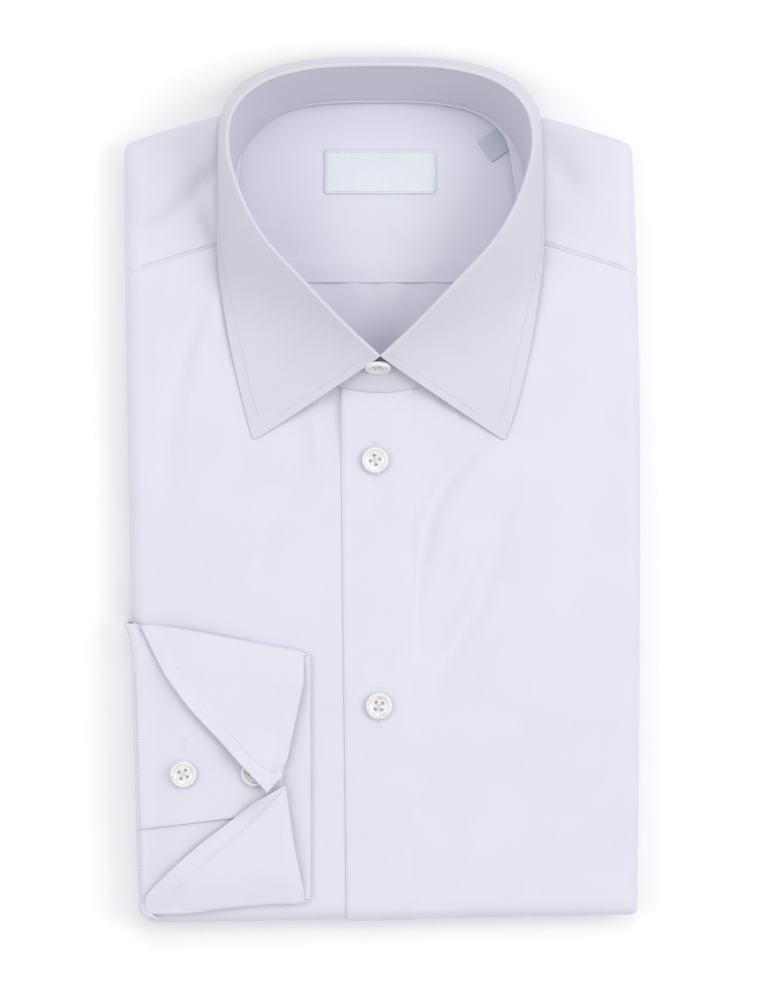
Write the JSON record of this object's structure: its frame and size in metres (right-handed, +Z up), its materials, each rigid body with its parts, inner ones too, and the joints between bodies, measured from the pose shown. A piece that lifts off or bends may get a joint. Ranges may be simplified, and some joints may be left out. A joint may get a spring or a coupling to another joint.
{
  "type": "folded dress shirt",
  "caption": "White button-front dress shirt folded flat for the shelf, with its collar standing and a turned-back cuff laid on the front.",
  "frame": {"origin": "centre of the bounding box, on the resting surface", "axes": "+Z up from the folded front, +Y towards the collar, +X to the viewer's right with the collar away from the viewer"},
  "size_m": [0.2201, 0.3707, 0.0572],
  "materials": {
    "poplin": "pressed cotton poplin",
    "woven_label": "bare woven satin label",
    "size_tag": "bare folded ribbon tag",
    "mother_of_pearl": "polished shell"
  },
  "bodies": {
    "root": {"folded_layers": "poplin", "front_button_side": "poplin", "front_buttonhole_side": "poplin", "yoke": "poplin", "yoke_lining": "poplin", "back_panel": "poplin", "collar_stand": "poplin", "collar_leaf": "poplin", "cuff": "poplin", "cuff_turn_back": "poplin", "sleeve": "poplin", "neck_label": "woven_label", "size_tag": "size_tag", "collar_button": "mother_of_pearl", "front_button_1": "mother_of_pearl", "front_button_2": "mother_of_pearl", "cuff_button_1": "mother_of_pearl", "cuff_button_2": "mother_of_pearl"}
  },
  "joints": []
}
